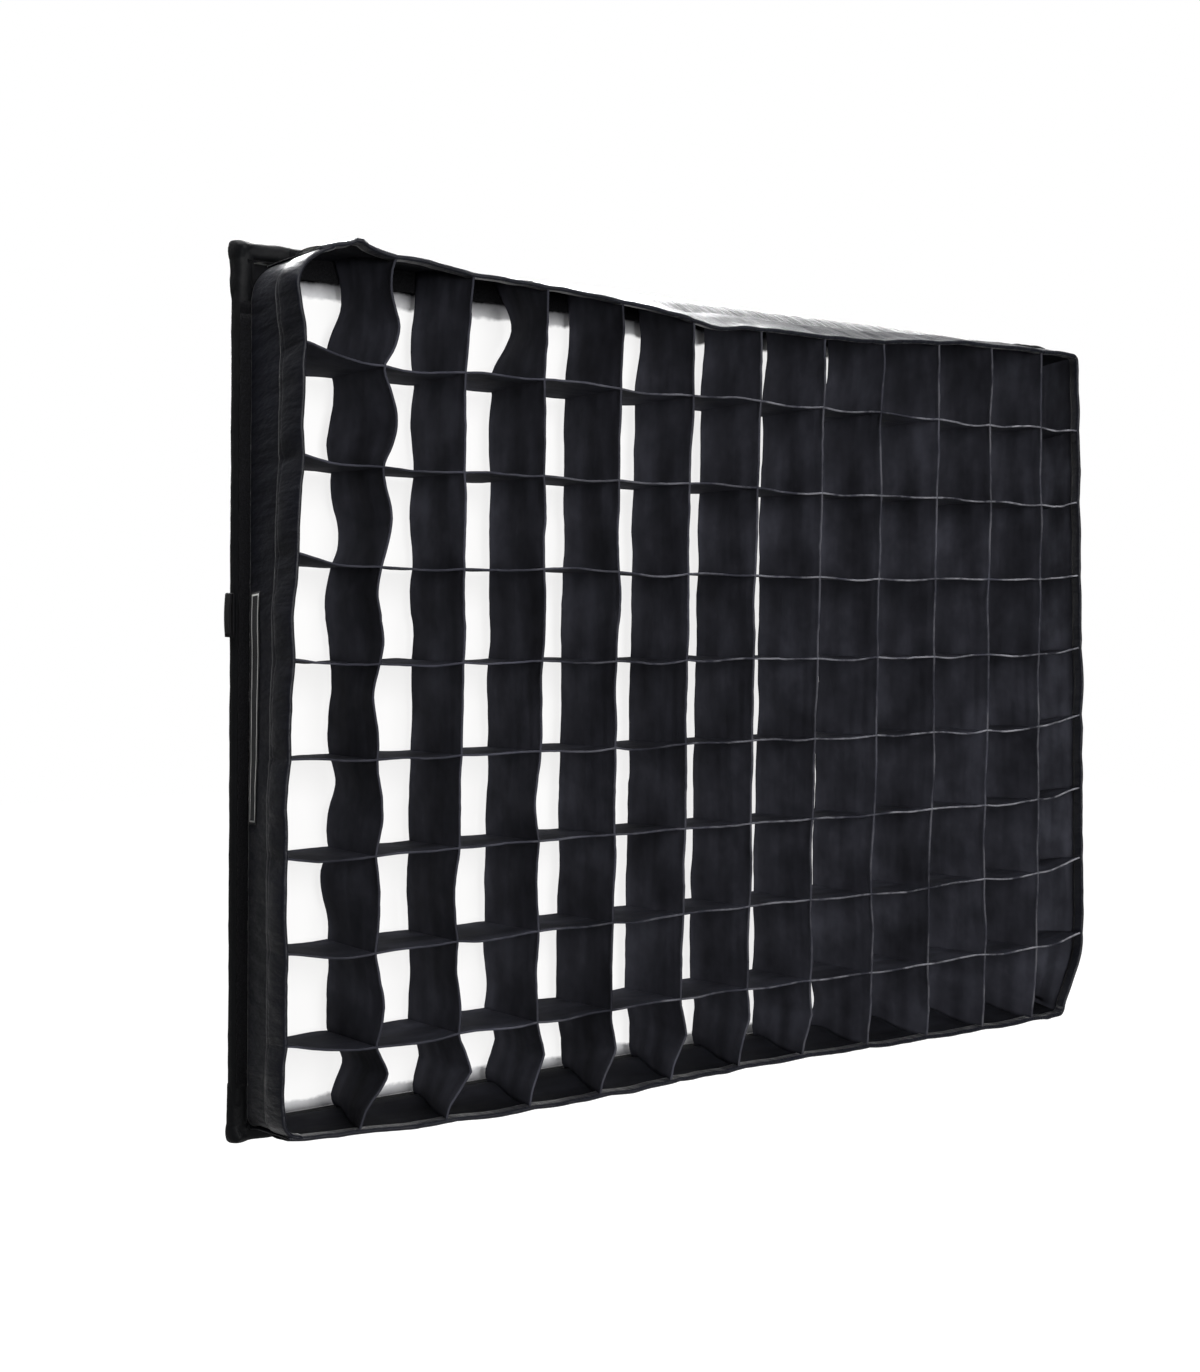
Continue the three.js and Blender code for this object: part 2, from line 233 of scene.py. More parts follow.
def new_object(name, vertices, faces, uvs=None, smooth_shading=True):
    mesh = bpy.data.meshes.new(name)
    mesh.from_pydata([tuple(v) for v in vertices], [], [tuple(f) for f in faces])
    mesh.validate()
    if uvs is not None:
        layer = mesh.uv_layers.new(name="cloth")
        loops = np.zeros(len(mesh.loops), np.int32)
        mesh.loops.foreach_get("vertex_index", loops)
        layer.data.foreach_set("uv", np.asarray(uvs, np.float32)[loops].ravel())
    if smooth_shading:
        mesh.polygons.foreach_set("use_smooth", [True] * len(mesh.polygons))
    mesh.update()
    obj = bpy.data.objects.new(name, mesh)
    bpy.context.scene.collection.objects.link(obj)
    return obj


def cloth(name, points, thickness, along, across, *materials):
    """A closed sheet from a grid of middle points, with its places in the cloth as UVs.

    A second material, if there is one, goes on the sheet's far side.
    """
    rows, columns = points.shape[:2]
    thickness = np.broadcast_to(np.asarray(thickness, float), (rows, columns))[..., None]
    normal = normals_of(points)
    front = points + normal * thickness / 2
    back = points - normal * thickness / 2
    vertices = np.concatenate([front.reshape(-1, 3), back.reshape(-1, 3)])
    index = np.arange(rows * columns).reshape(rows, columns)
    far = index + rows * columns

    def quads(a, b, c, d):
        return np.stack([a.ravel(), b.ravel(), c.ravel(), d.ravel()], axis=1)

    faces = [
        quads(index[:-1, :-1], index[1:, :-1], index[1:, 1:], index[:-1, 1:]),
        quads(far[:-1, :-1], far[:-1, 1:], far[1:, 1:], far[1:, :-1]),
        quads(index[:-1, 0], far[:-1, 0], far[1:, 0], index[1:, 0]),
        quads(index[1:, -1], far[1:, -1], far[:-1, -1], index[:-1, -1]),
        quads(index[0, 1:], far[0, 1:], far[0, :-1], index[0, :-1]),
        quads(index[-1, :-1], far[-1, :-1], far[-1, 1:], index[-1, 1:]),
    ]
    uv = np.stack(np.broadcast_arrays(along[:, None], across[None, :]), axis=-1).reshape(-1, 2)
    obj = new_object(name, vertices, np.concatenate(faces), np.concatenate([uv, uv]))
    for material in materials:
        obj.data.materials.append(material)
    if len(materials) > 1:
        index = np.zeros(len(obj.data.polygons), np.int32)
        index[len(faces[0]) : 2 * len(faces[0])] = 1
        obj.data.polygons.foreach_set("material_index", index)
    return obj


def steps(length, step=FINE_STEP):
    return np.linspace(0, length, max(2, int(round(length / step)) + 1))


def across_steps(width, count):
    """Places across a sheet, closer together at both edges."""
    t = np.linspace(0, 1, count)
    return width * (0.35 * t + 0.65 * (1 - np.cos(math.pi * t)) / 2)


# -------------------------------- materials


class Nodes:
    """A material's node tree, with short calls for the nodes used here."""

    def __init__(self, name):
        self.material = bpy.data.materials.new(name)
        self.material.use_nodes = True
        self.tree = self.material.node_tree
        self.shader = self.tree.nodes["Principled BSDF"]

    def node(self, kind, **values):
        node = self.tree.nodes.new(kind)
        for key, value in values.items():
            setattr(node, key, value)
        return node

    def link(self, source, target):
        self.tree.links.new(source, target)

    def feed(self, value, socket):
        """A socket takes a number, a colour, or what another node gives."""
        if isinstance(value, (int, float, tuple)):
            socket.default_value = value
        else:
            self.link(value, socket)

    def put(self, name, value):
        self.feed(value, self.shader.inputs[name])

    def math(self, operation, *values, clamp=False):
        node = self.node("ShaderNodeMath", operation=operation, use_clamp=clamp)
        for socket, value in zip(node.inputs, values):
            self.feed(value, socket)
        return node.outputs[0]

    def split(self, vector):
        node = self.node("ShaderNodeSeparateXYZ")
        self.link(vector, node.inputs[0])
        return node.outputs[:]

    def cloth_places(self):
        """The places along and across the cloth, in metres."""
        return self.split(self.node("ShaderNodeUVMap", uv_map="cloth").outputs[0])[:2]

    def object_places(self):
        return self.node("ShaderNodeTexCoord").outputs["Object"]

    def noise(self, vector, scale, detail=3.0, roughness=0.55):
        node = self.node("ShaderNodeTexNoise")
        node.inputs["Scale"].default_value = scale
        node.inputs["Detail"].default_value = detail
        node.inputs["Roughness"].default_value = roughness
        self.link(vector, node.inputs["Vector"])
        return node.outputs["Fac"]

    def ramp(self, value, stops):
        node = self.node("ShaderNodeValToRGB")
        elements = node.color_ramp.elements
        while len(elements) < len(stops):
            elements.new(0.5)
        for element, (place, colour) in zip(elements, stops):
            element.position = place
            element.color = (*colour, 1.0)
        self.link(value, node.inputs[0])
        return node.outputs[0]

    def mix(self, factor, first, second):
        """The first colour, turning into the second as the factor goes from 0 to 1."""
        node = self.node("ShaderNodeMix", data_type="RGBA")
        self.link(factor, node.inputs["Factor"])
        self.feed(first, node.inputs[6])
        self.feed(second, node.inputs[7])
        return node.outputs[2]

    def bump(self, height, strength, distance, after=None):
        node = self.node("ShaderNodeBump")
        node.inputs["Strength"].default_value = strength
        node.inputs["Distance"].default_value = distance
        self.link(height, node.inputs["Height"])
        if after is not None:
            self.link(after, node.inputs["Normal"])
        return node.outputs[0]

    def weave(self, along, across, pitch):
        """Crossing threads as a height from 0 to 1."""
        turns = 2 * math.pi / pitch
        warp = self.math("SINE", self.math("MULTIPLY", along, turns))
        weft = self.math("SINE", self.math("MULTIPLY", across, turns))
        return self.math("MULTIPLY_ADD", self.math("MULTIPLY", warp, weft), 0.5, 0.5)


# The spacing of each cloth's threads.
NYLON_PITCH = 0.0007
DIVIDER_PITCH = 0.0006
DIFFUSION_PITCH = 0.0008
RIM_PITCH = 0.0008
WEBBING_PITCH = 0.0016
LABEL_PITCH = 0.0009


def cloth_nodes(name):
    """A cloth's material, the places along and across it, and places in the round."""
    n = Nodes(name)
    return (n, *n.cloth_places(), n.object_places())


def tones(n, value, colour, *stops):
    """The colour made darker or paler along a ramp, by stops of place and factor."""
    shades = [(place, tuple(min(1.0, c * factor) for c in colour)) for place, factor in stops]
    return n.ramp(value, shades)


def stretched(n, along, across, scales, detail, roughness):
    """Noise over the places in the cloth, with its own scale each way."""
    place = n.node("ShaderNodeCombineXYZ")
    for socket, value, scale in zip(place.inputs, (along, across), scales):
        n.link(n.math("MULTIPLY", value, scale), socket)
    return n.noise(place.outputs[0], 1.0, detail, roughness)


def streaks(n, along, across):
    """Short soft creases that run from the front of the grid towards its back."""
    return stretched(n, along, across, (70.0, 20.0), 3.0, 0.55)


def stitches(n, along, across):
    """The height of a hem's rows of stitches, and of the grooves they pull in.

    One row runs beside the turned edge, and one across the hem at each divider.
    """
    cell = n.math("DIVIDE", along, CELL)
    to_divider = n.math("ABSOLUTE", n.math("SUBTRACT", cell, n.math("ROUND", cell)))
    sewn_rows = (
        (n.math("ABSOLUTE", n.math("SUBTRACT", across, HEM_SEAM)), along),
        (n.math("MULTIPLY", to_divider, CELL), across),
    )
    height = 0.0
    for from_row, run in sewn_rows:
        turns = n.math("MULTIPLY", run, 2 * math.pi / STITCH)
        stitch = n.math("GREATER_THAN", n.math("SINE", turns), -0.3)
        thread = n.math("MULTIPLY", n.math("LESS_THAN", from_row, THREAD_HALF), stitch)
        groove = n.math("SUBTRACT", 1.0, n.math("DIVIDE", from_row, GROOVE_HALF, clamp=True))
        height = n.math("ADD", height, n.math("SUBTRACT", thread, groove))
    return height


def wall_cloth(name, colour, mottle=10.0, sheen=0.12, sewn=None):
    """The walls' coated nylon, softly shining, and uneven where hands have rubbed it."""
    n, along, across, solid = cloth_nodes(name)
    tone = n.noise(solid, mottle, 4.0)
    n.put("Base Color", tones(n, tone, colour, (0.25, 0.7), (0.55, 1.0), (0.8, 1.4)))
    surface = n.bump(n.weave(along, across, NYLON_PITCH), 0.35, 0.0002)
    if sewn is not None:
        surface = n.bump(sewn(n, along, across), 0.4, 0.0006, after=surface)
    n.put("Normal", n.bump(streaks(n, along, across), 0.55, 0.006, after=surface))
    handling_and_highlight = n.noise(solid, 17.0, 4.0, 0.6)
    n.put("Roughness", n.math("MULTIPLY_ADD", handling_and_highlight, 0.3, 0.3))
    n.put("Specular IOR Level", 0.22)
    n.put("Sheen Weight", sheen)
    n.put("Sheen Roughness", 0.22)
    return n.material


def folds_along(n, along, across, spread=1.0):
    """Soft folds that run the same way as the strip."""
    return stretched(n, along, across, (7.0 * spread, 38.0 * spread), 2.0, 0.45)


# The width of the painted highlight along a divider's front edge.
EDGE_HIGHLIGHT_WIDTH = 0.0022  # the pale line along a divider's front edge


def divider_cloth(name, colour, edge):
    """Thin nylon, with painted fold shade in its tone and a painted highlight along its turned
    front edge.
    """
    n, along, across, solid = cloth_nodes(name)
    broad, soft = n.noise(solid, 14.0, 4.0, 0.6), folds_along(n, along, across)
    # The tone mixes random mottling with painted shade of soft folds along the strip.
    tone = n.math("MULTIPLY_ADD", broad, 0.65, n.math("MULTIPLY", soft, 0.35))
    cloth_tone = tones(n, tone, colour, (0.34, 0.5), (0.5, 1.0), (0.66, 1.8))
    fade = n.math("SUBTRACT", 1.0, n.math("DIVIDE", across, EDGE_HIGHLIGHT_WIDTH, clamp=True))
    # The painted edge highlight is made stronger towards the right half.
    handling_and_highlight = n.math("MULTIPLY_ADD", n.split(solid)[0], 1.4, 0.45, clamp=True)
    handling_and_highlight = n.math("MULTIPLY_ADD", handling_and_highlight, 0.95, 0.05)
    patchy = n.math("MULTIPLY_ADD", n.noise(solid, 26.0, 4.0, 0.7), 5.0, -2.1, clamp=True)
    # The painted highlight along the front edge, stronger to the right and broken into patches.
    painted_edge_highlight = n.math("MULTIPLY", n.math("MULTIPLY", fade, handling_and_highlight), patchy)
    n.put("Base Color", n.mix(painted_edge_highlight, cloth_tone, (*edge, 1)))
    n.put("Roughness", n.math("MULTIPLY_ADD", n.noise(solid, 33.0), 0.2, 0.7))
    threads = n.bump(n.weave(along, across, DIVIDER_PITCH), 0.3, 0.00015)
    folds = n.bump(folds_along(n, along, across, 0.8), 0.7, 0.006, after=threads)
    n.put("Normal", folds)
    n.put("Specular IOR Level", 0.03)
    return n.material


def woven(name, colour, pitch, roughness, sheen, wrinkle, specular):
    """A woven cloth: threads, soft wrinkles, and slow changes of tone."""
    n, along, across, solid = cloth_nodes(name)
    tone = n.noise(solid, 9.0, 4.0)
    thread = n.noise(solid, 900.0, 1.0)
    mixed = n.math("ADD", n.math("MULTIPLY", tone, 0.75), n.math("MULTIPLY", thread, 0.25))
    n.put("Base Color", tones(n, mixed, colour, (0.25, 0.72), (0.55, 1.0), (0.8, 1.3)))
    n.put("Roughness", n.math("MULTIPLY_ADD", n.noise(solid, 40.0), 0.16, roughness - 0.08))
    threads = n.bump(n.weave(along, across, pitch), 0.35, pitch * 0.25)
    folds = n.bump(n.noise(solid, 28.0, 5.0, 0.6), wrinkle, 0.003, after=threads)
    n.put("Normal", folds)
    n.put("Sheen Weight", sheen)
    n.put("Sheen Roughness", 0.45)
    n.put("Specular IOR Level", specular)
    return n.material


def moulded(name, colour, roughness, grain):
    """Moulded plastic or a drawn rod, with a fine grain."""
    n = Nodes(name)
    solid = n.object_places()
    tone = n.noise(solid, 30.0, 4.0)
    n.put("Base Color", tones(n, tone, colour, (0.3, 0.8), (0.7, 1.25)))
    n.put("Roughness", n.math("MULTIPLY_ADD", n.noise(solid, 90.0), 0.2, roughness - 0.1))
    n.put("Normal", n.bump(n.noise(solid, grain), 0.25, 0.0003))
    return n.material


def pile(name, colour, density, height):
    """Hook or loop tape: a dense matt pile."""
    n = Nodes(name)
    solid = n.object_places()
    bristle = n.node("ShaderNodeTexVoronoi")
    bristle.inputs["Scale"].default_value = density
    n.link(solid, bristle.inputs["Vector"])
    n.put("Base Color", tones(n, bristle.outputs["Distance"], colour, (0.0, 1.6), (0.6, 0.6)))
    n.put("Normal", n.bump(bristle.outputs["Distance"], 0.9, height))
    n.put("Roughness", 0.95)
    n.put("Specular IOR Level", 0.04)
    n.put("Sheen Weight", 0.02)
    return n.material


COATED_NYLON = (0.0045, 0.005, 0.0085)
WALL_NYLON = wall_cloth("wall nylon", COATED_NYLON)
HEM_NYLON = wall_cloth("hem nylon", COATED_NYLON, mottle=11.0, sewn=stitches)
# The top wall's nylon is a lighter, shinier copy of the wall nylon, so that its outer face shows
# whitish under the lights: painted light.
LIT_TOP_NYLON = wall_cloth("top wall nylon", (0.007, 0.0075, 0.010), sheen=0.8)
# The second colour of each divider cloth is its painted front-edge highlight, palest on the level
# dividers.
DIVIDER_NYLON = divider_cloth("upright divider nylon", (0.027, 0.0275, 0.035), (0.08, 0.08, 0.09))
LEVEL_NYLON = divider_cloth("level divider nylon", (0.024, 0.0245, 0.032), (0.20, 0.20, 0.22))
WALL_LINING = divider_cloth("wall lining", (0.009, 0.0093, 0.012), (0.03, 0.03, 0.036))
# The right wall's lining is a paler copy of the wall lining: painted light on the inner face of
# the last column.
LIT_RIGHT_LINING = divider_cloth("right wall lining", (0.050, 0.051, 0.064), (0.12, 0.12, 0.14))
RIM_NYLON = woven(
    "rim nylon", (0.003, 0.0033, 0.004), RIM_PITCH, 0.55, 0.01, wrinkle=0.9, specular=0.12
)
WEBBING = woven(
    "webbing", (0.006, 0.006, 0.007), WEBBING_PITCH, 0.8, 0.03, wrinkle=0.15, specular=0.1
)
HOOK_TAPE = pile("hook tape", (0.005, 0.005, 0.006), 1400.0, 0.0006)
LOOP_TAPE = pile("loop tape", (0.007, 0.007, 0.008), 900.0, 0.0008)
BLACK_PLASTIC = moulded("moulded nylon", (0.018, 0.019, 0.021), 0.5, 900.0)
ROD_MATERIAL = moulded("pultruded rod", (0.045, 0.047, 0.05), 0.42, 300.0)


DIFFUSER_FOOT = 0.013  # less of the border shows along the bottom edge


def to_edge(n, *ways):
    """The distance to a cloth's nearest edge, by its start, its end and its size each way."""
    low = [n.math("MINIMUM", start, n.math("SUBTRACT", size, end)) for start, end, size in ways]
    return n.math("MINIMUM", *low)


def diffusion(name, width, height):
    """White diffusion cloth given a painted glow so that it shows evenly white, with a duller
    painted border where the rim shades it.
    """
    n, along, across, solid = cloth_nodes(name)
    raised = n.math("ADD", across, DIFFUSER_FOOT)
    from_edge = to_edge(n, (along, along, width), (raised, across, height))
    ragged = n.math("MULTIPLY_ADD", n.noise(solid, 30.0, 4.0, 0.65), 0.014, -0.007)
    border = n.math("ADD", from_edge, ragged)
    painted_glow_share = n.math("DIVIDE", n.math("SUBTRACT", border, 0.022), 0.003, clamp=True)
    # The border is painted black, then grey, as shade from the rim; the middle is a dim grey under
    # the painted glow.
    shade = n.ramp(
        n.math("MULTIPLY", border, 30.0),
        [
            (0.26, (0.006, 0.006, 0.007)),
            (0.34, (0.20, 0.20, 0.21)),
            (0.66, (0.50, 0.50, 0.51)),
            (0.75, (0.14, 0.14, 0.14)),
        ],
    )
    n.put("Base Color", shade)
    # The painted glow: the cloth gives out light, though no lamp is built behind it.
    painted_glow = n.math("MULTIPLY_ADD", n.noise(solid, 6.0, 3.0), 0.05, 0.78)
    n.put("Emission Strength", n.math("MULTIPLY", painted_glow_share, painted_glow))
    n.put("Emission Color", (1.0, 0.995, 0.99, 1))
    n.put("Roughness", 0.85)
    n.put("Specular IOR Level", 0.1)
    threads = n.bump(n.weave(along, across, DIFFUSION_PITCH), 0.2, 0.0002)
    n.put("Normal", n.bump(n.noise(solid, 14.0, 4.0), 0.15, 0.003, after=threads))
    return n.material


def diffusion_back(name):
    """The same white cloth seen from inside the softbox, painted an even dim grey as shade, with
    soft folds.
    """
    n, along, across, solid = cloth_nodes(name)
    soft = n.noise(solid, 7.0, 4.0, 0.55)
    stops = [(0.3, (0.17, 0.17, 0.175)), (0.7, (0.19, 0.19, 0.195))]
    n.put("Base Color", n.ramp(soft, stops))
    n.put("Roughness", 0.85)
    n.put("Specular IOR Level", 0.1)
    threads = n.bump(n.weave(along, across, DIFFUSION_PITCH), 0.2, 0.0002)
    n.put("Normal", n.bump(n.noise(solid, 9.0, 3.0), 0.2, 0.005, after=threads))
    return n.material


def plain_label_cloth(name, width, length):
    """A dark woven strip with a pale line woven round its edge, and nothing else on it."""
    n, along, across, solid = cloth_nodes(name)
    from_edge = to_edge(n, (along, along, length), (across, across, width))
    off_line = n.math("ABSOLUTE", n.math("SUBTRACT", from_edge, 0.0024))
    outline = n.math("LESS_THAN", off_line, 0.0007)
    tone = n.noise(solid, 60.0, 4.0)
    dark = n.ramp(tone, [(0.3, (0.006, 0.006, 0.007)), (0.7, (0.012, 0.012, 0.014))])
    pale = n.ramp(tone, [(0.3, (0.45, 0.45, 0.44)), (0.7, (0.62, 0.62, 0.60))])
    n.put("Base Color", n.mix(n.math("MULTIPLY", outline, 0.9), dark, pale))
    n.put("Normal", n.bump(n.weave(along, across, LABEL_PITCH), 0.4, 0.0003))
    n.put("Roughness", 0.8)
    return n.material


# -------------------------------- the grid's four walls

CORNER_RADIUS = 0.028  # the top wall runs over into the left wall
FOOT_RADIUS = 0.015  # and the left wall turns under at its foot
RIGHT_RADIUS = 0.006
CORNER_LAP = 0.012


def arc(centre, radius, start, end, count):
    turns = np.radians(np.linspace(start, end, count))
    return np.stack([centre[0] + radius * np.cos(turns), centre[1] + radius * np.sin(turns)], 1)


def line(a, b, step=FINE_STEP):
    count = max(2, int(round(math.dist(a, b) / step)) + 1)
    return np.linspace(a, b, count)


def joined(*parts):
    kept = [parts[0]]
    kept += [part[1:] if np.allclose(part[0], kept[-1][-1]) else part for part in parts[1:]]
    return np.concatenate(kept)


def lengths_along(path):
    """How far each point of a path is from its start."""
    return np.concatenate([[0], np.cumsum(np.linalg.norm(np.diff(path, axis=0), axis=1))])


def outward_of(path):
    """Directions square to a path, to the left of the way it runs."""
    tangent = np.gradient(path, axis=0)
    tangent /= np.linalg.norm(tangent, axis=1, keepdims=True)
    return np.stack([-tangent[:, 1], tangent[:, 0]], 1)


def moved_out(path, outward, distance):
    """X and Z of a path's points, each moved out by a row of distances."""
    return (path[:, k : k + 1] + outward[:, k : k + 1] * distance for k in (0, 1))


def wall_path(side):
    """The wall's line seen from the front, going clockwise, with its outward directions."""
    c, f, r = CORNER_RADIUS, FOOT_RADIUS, RIGHT_RADIUS
    if side == "top":
        turn = arc((RIGHT - r, TOP - r), r, 90, 45, 5)
        path = joined(line((LEFT + c - CORNER_LAP, TOP), (RIGHT - r, TOP)), turn)
    elif side == "right":
        top_turn = arc((RIGHT - r, TOP - r), r, 45, 0, 5)
        foot_turn = arc((RIGHT - r, BOTTOM + r), r, 0, -45, 5)
        path = joined(top_turn, line((RIGHT, TOP - r), (RIGHT, BOTTOM + r)), foot_turn)
    elif side == "bottom":
        turn = arc((RIGHT - r, BOTTOM + r), r, -45, -90, 5)
        path = joined(turn, line((RIGHT - r, BOTTOM), (LEFT + f - CORNER_LAP, BOTTOM)))
    else:
        foot = arc((LEFT + f, BOTTOM + f), f, 270, 180, 9)
        turn = arc((LEFT + c, TOP - c), c, 180, 90, 13)
        path = joined(foot, line((LEFT, BOTTOM + f), (LEFT, TOP - c)), turn)
    return path, outward_of(path), lengths_along(path)


def between_dividers(path, side):
    """0 at a divider's seam and 1 half way between two."""
    if side in ("top", "bottom"):
        cells = (path[:, 0] - LEFT) / CELL
    else:
        cells = (TOP - path[:, 1]) / CELL
    return np.abs(np.sin(math.pi * cells)), cells


WALL_NOISE = {side: Noise(20 + k) for k, side in enumerate(SIDES)}
# Where the points of a hem's outer side lie, as shares of its depth.
OUTER_SHARES = np.array([0.02, 0.06, 0.12, 0.2, 0.3, 0.42, 0.54, 0.66, 0.78, 0.88, 0.95, 1.0])
# How far each wall puffs out between its dividers, in mm.
WALL_PUFF = {"top": 1.0, "right": 1.5, "bottom": 1.0, "left": 1.4}


def wall_puff(side, length, between, across):
    """How far the wall stands out between its dividers, and how loose it is there."""
    lines = WALL_NOISE[side].layers(length[:, None] / 0.030, across[None, :] / 0.075, 3)
    depth = np.clip(across / DEPTH, 0, 1)
    loose = (between[:, None] ** 0.8) * (0.35 + 0.65 * (1 - depth[None, :]))
    return WALL_PUFF[side] * MM * (0.9 + 1.5 * lines) * loose, loose


def wall_points(side, across, out):
    """Points a distance out from a wall, with its length and cells at each row of them."""
    path, outward, length = wall_path(side)
    between, cells = between_dividers(path, side)
    puff, loose = wall_puff(side, length, between, across)
    creases = WALL_NOISE[side].layers(length[:, None] / 0.011 + 40, across[None, :] / 0.05 + 9, 2)
    x, z = moved_out(path, outward, out + (puff + 0.5 * MM * creases * loose))
    return on_grid(x, FRONT + across[None, :], z), length, cells


def from_divider(length, cells):
    """Lengths along a wall, moved so that a divider is sewn on at each whole cell."""
    middle_one = len(length) // 2
    ahead = np.sign(cells[middle_one + 1] - cells[middle_one])
    return ahead * (length - length[middle_one]) + cells[middle_one] * CELL


def build_wall(side):
    across = across_steps(DEPTH, WALL_POINTS_ACROSS)
    points, length, cells = wall_points(side, across, 0.0)
    along = from_divider(length, cells)
    # The top wall gets the lighter, shinier copy of the nylon, which is painted light.
    outer = LIT_TOP_NYLON if side == "top" else WALL_NYLON
    # The right wall gets the paler copy of the lining, which is painted light.
    lining = LIT_RIGHT_LINING if side == "right" else WALL_LINING
    wall = cloth(f"{side}_wall_cloth", points, WALL_THICK, along, across, outer, lining)
    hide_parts(f"{side}_wall")
    return wall, length[-1]


def build_hem(side):
    """The wall's front edge, turned over and sewn down, with a tuck at each divider."""
    path, outward, length = wall_path(side)
    between, cells = between_dividers(path, side)
    noise = WALL_NOISE[side]
    inner = np.linspace(HEM_INSIDE, 0.0, 5)[:-1]
    turn = np.radians(np.linspace(-90, 90, 9))
    profile = np.concatenate(
        [
            np.stack([inner, -HEM_ROLL + 0 * inner], 1),
            HEM_ROLL * np.stack([-np.cos(turn), np.sin(turn)], 1),
            np.stack([HEM_DEPTH * OUTER_SHARES, HEM_ROLL + 0 * OUTER_SHARES], 1),
        ]
    )
    places = lengths_along(profile)
    y_across, out = profile[:, 0], profile[:, 1]
    outer_share = np.clip(y_across / HEM_DEPTH, 0, 1) * (out > 0)
    swell = np.sin(math.pi * outer_share) ** 0.8
    lines = noise.layers(length[:, None] / 0.022 + 3, y_across[None, :] / 0.05 + 5, 3)
    edge_wave = noise.layers(length / 0.05 + 17, 0 * length + 2, 2)
    tuck = between[:, None] ** 0.3
    puffed = (2.3 + 2.0 * lines) * MM * swell[None, :] * tuck
    puffed = puffed - 1.1 * MM * swell[None, :] * hump(cells - np.round(cells), 0, 0.03)[:, None]
    base, _ = wall_puff(side, length, between, y_across)
    x, z = moved_out(path, outward, base + puffed + out[None, :] - 0.6 * MM * (1 - tuck))
    points = on_grid(x, FRONT + y_across[None, :], z)
    points[..., 1] += 1.3 * MM * np.abs(edge_wave)[:, None] * (1 - outer_share)[None, :]
    along = from_divider(length, cells)
    hem = cloth(f"{side}_hem_cloth", points, HEM_THICK, along, places, HEM_NYLON)
    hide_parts(f"{side}_hem")
    return hem, length[-1], places[-1]


def hang_on_bodies(piece, side):
    """Puts a wall's piece on its wall's body; the left and bottom walls' pieces are only fixed
    where they stand.
    """
    if side == "left":
        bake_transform(piece)
    elif side == "bottom":
        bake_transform(piece)
    else:
        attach(piece, f"grid_{side}")


for side in SIDES:
    wall, wall_length = build_wall(side)
    hem, hem_length, hem_width = build_hem(side)
    for piece in (wall, hem):
        hang_on_bodies(piece, side)

# -------------------------------- the dividers


def bulges(seed, cells, front, rear):
    """For each cell of a strip, its front and rear edges' bows and S-bends, in mm."""
    rng = np.random.default_rng(seed)
    return rng.uniform(-1, 1, (cells, 2)) * (front, rear), rng.uniform(-1, 1, (cells, 2))


def bowed(place, depth, bows, seed, ripple):
    """The sideways place of a strip: still at each crossing, loose between them."""
    main, second = bows
    cell = np.clip(np.floor(place).astype(int), 0, len(main) - 1)
    share = np.clip(place - cell, 0.0, 1.0)
    hold = np.abs(np.sin(math.pi * share))
    front, rear = main[cell, 0][:, None], main[cell, 1][:, None]
    wave = np.sin(2 * math.pi * share)[:, None]
    bow = (front * (1 - depth) + rear * depth) * (hold**1.3)[:, None]
    bow = bow + (second[cell, 0][:, None] * (1 - depth) + second[cell, 1][:, None] * depth) * wave
    noise = Noise(seed)
    fine = noise.layers(place[:, None] / 0.31, depth / 0.9 + 4, 3)
    crease = noise.layers(place[:, None] / 0.12 + 50, depth / 1.3 + 20, 2)
    loose = hold[:, None] ** 0.6
    return MM * (bow + ripple * (fine + 0.6 * crease) * loose)


def edge_thickness(across):
    """A strip's front and rear edges are turned over, so they are thicker."""
    from_edge = np.minimum(across, across[-1] - across)
    turned = 1 - smooth(from_edge / TURNED_EDGE)
    return DIVIDER_THICK + (DIVIDER_EDGE_THICK - DIVIDER_THICK) * turned


ACROSS_DIVIDER = across_steps(DEPTH - 2 * SET_BACK, DIVIDER_POINTS_ACROSS)
DIVIDER_DEPTHS = (ACROSS_DIVIDER / DEPTH)[None, :]
DIVIDER_Y = FRONT + SET_BACK + ACROSS_DIVIDER[None, :]
DIVIDER_THICKNESS = edge_thickness(ACROSS_DIVIDER)[None, :]


# The first three uprights hang slackest. For each cell from the top: how far the
# front edge bows, how much of an S it makes, and the same for the rear edge, in mm.
SLACK = {
    1: (
        (8, 13, 8, 0, -3, 5, 4, 7, 5),
        (-5, -1, -1, -3, -2, -1, 0, -1, 2),
        (-1, -3, 5, -5, 0, 3, -6, 0, 3),
        (6, 3, -4, -1, 2, 4, -3, 1, 4),
    ),
    2: (
        (1, 1, 1, 0, 0, -1, -4, -1, 2),
        (0, 0, 1, -1, 0, 0, 0, -2, 1),
        (-6, -3, -3, -1, 1, -1, -2, 2, 4),
        (0, -1, -1, -2, 0, 1, 0, 0, 2),
    ),
    3: (
        (0, 1, 1, 1, 0, -4, -3, -2, 1),
        (0, 0, 1, 0, -1, 1, 0, 0, 0),
        (13, -3, -1, 1, 0, 1, -1, 1, 3),
        (7, 0, 0, -1, -1, 1, 0, -2, 3),
    ),
}


